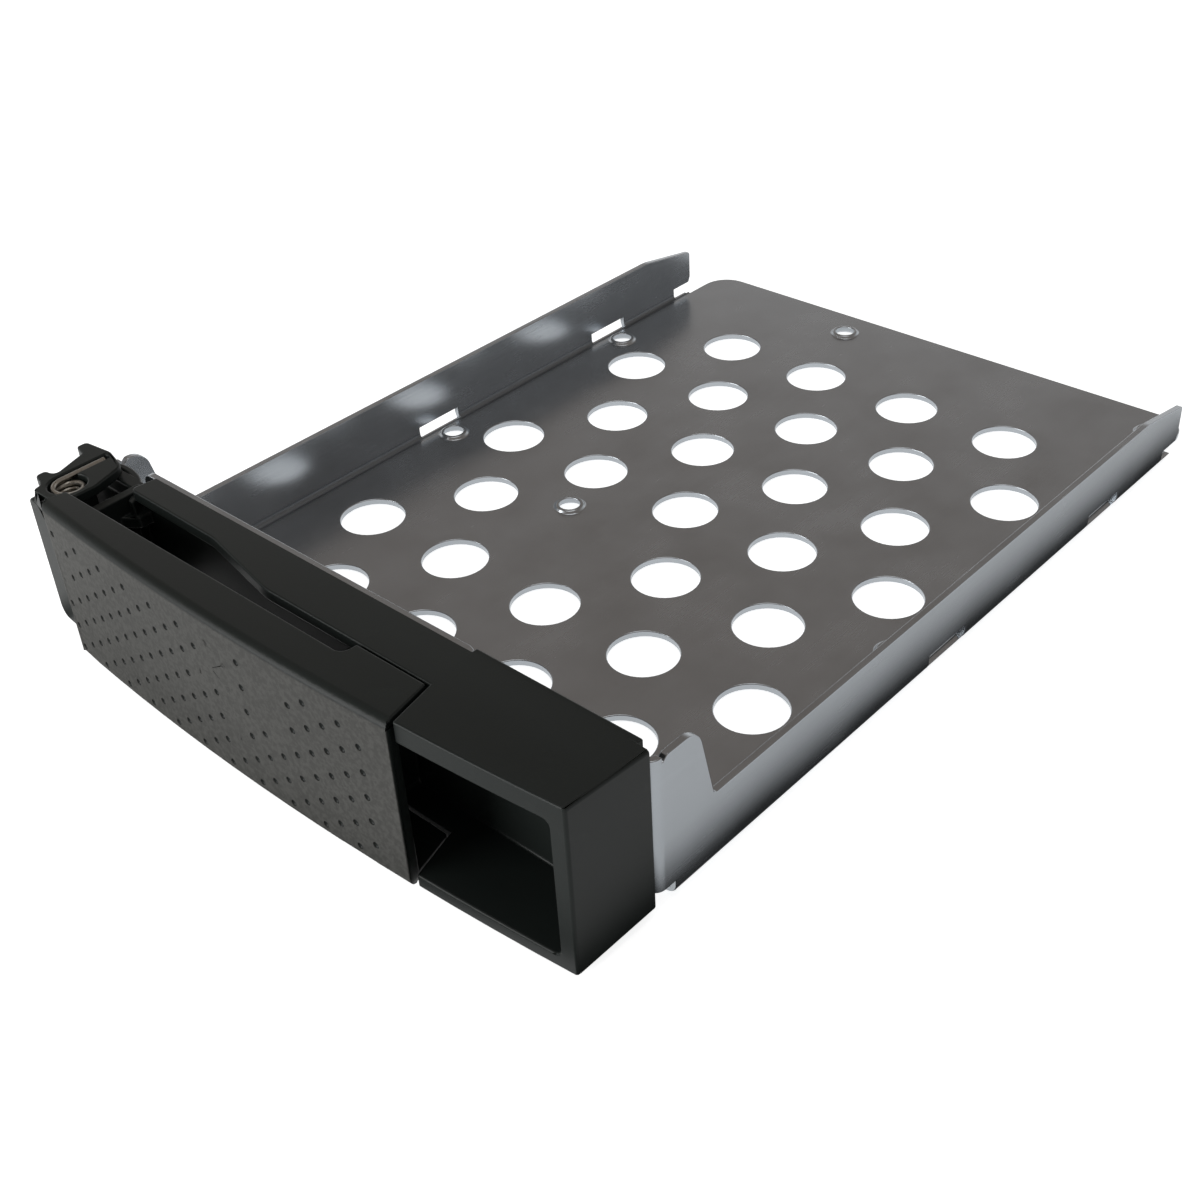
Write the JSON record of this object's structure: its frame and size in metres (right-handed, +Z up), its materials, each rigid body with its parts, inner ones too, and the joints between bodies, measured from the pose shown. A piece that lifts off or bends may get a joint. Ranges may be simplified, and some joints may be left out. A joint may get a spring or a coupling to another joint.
{
  "type": "hot swap drive caddy",
  "caption": "Folded steel drive tray with a black plastic front, a hinged dotted lever and a finger recess.",
  "frame": {"origin": "middle of the four holes for a 3.5 inch drive, on the underside of the steel pan", "axes": "+Z up out of the pan towards the drive, +Y towards the connector end of the drive, +X to the right seen from the front, so the lever is hinged at -X"},
  "size_m": [0.1083, 0.1578, 0.0268],
  "materials": {
    "pan_steel": "satin, zinc plated",
    "black_plastic": "fine matt grain",
    "spring_steel": "drawn wire",
    "screw_steel": "plated"
  },
  "bodies": {
    "tray": {"tray_pan": "pan_steel", "bezel": "black_plastic", "hinge_pin": "screw_steel", "bezel_screw_1": "screw_steel", "bezel_screw_2": "screw_steel", "bezel_screw_3": "screw_steel", "bezel_screw_4": "screw_steel"},
    "lever": {"lever": "black_plastic", "lever_spring": "spring_steel"}
  },
  "joints": [
    {"name": "lever_swing", "type": "hinge", "parent": "tray", "child": "lever", "pos_m": [-0.0482, -0.0933, 0.0136], "axis": [0, 0, -1], "range_deg": [0, 60]}
  ]
}
